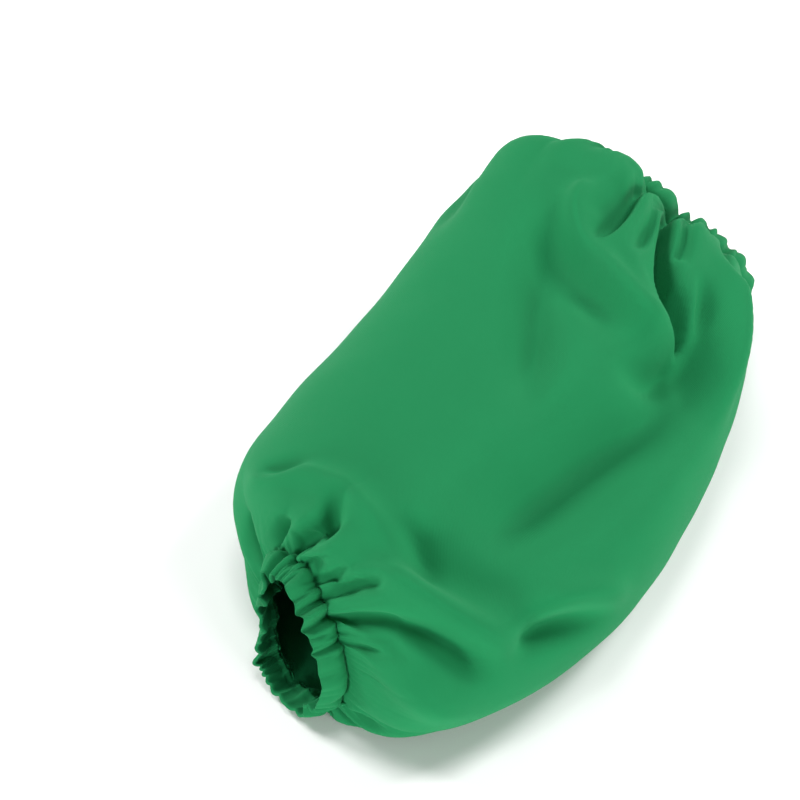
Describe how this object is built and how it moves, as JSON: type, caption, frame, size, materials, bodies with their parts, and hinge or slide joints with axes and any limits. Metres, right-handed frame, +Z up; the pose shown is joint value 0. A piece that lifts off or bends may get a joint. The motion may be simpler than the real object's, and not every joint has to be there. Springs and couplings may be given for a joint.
{
  "type": "cloth oversleeve",
  "caption": "Green twill oversleeve lying puffed open on its side, gathered at the wrist and the upper arm by elastic in turned hems.",
  "frame": {"origin": "middle of the footprint, on the surface that the sleeve lies on", "axes": "+X along the sleeve from the wrist hem to the upper-arm hem, +Y across it, +Z up"},
  "size_m": [0.3288, 0.1858, 0.0942],
  "materials": {
    "twill": "matt green twill with a soft sheen",
    "hem_twill": "the same green twill, turned, stitched and puckered"
  },
  "bodies": {
    "root": {"sleeve_body": "twill", "wrist_casing": "hem_twill", "arm_casing": "hem_twill"}
  },
  "joints": []
}
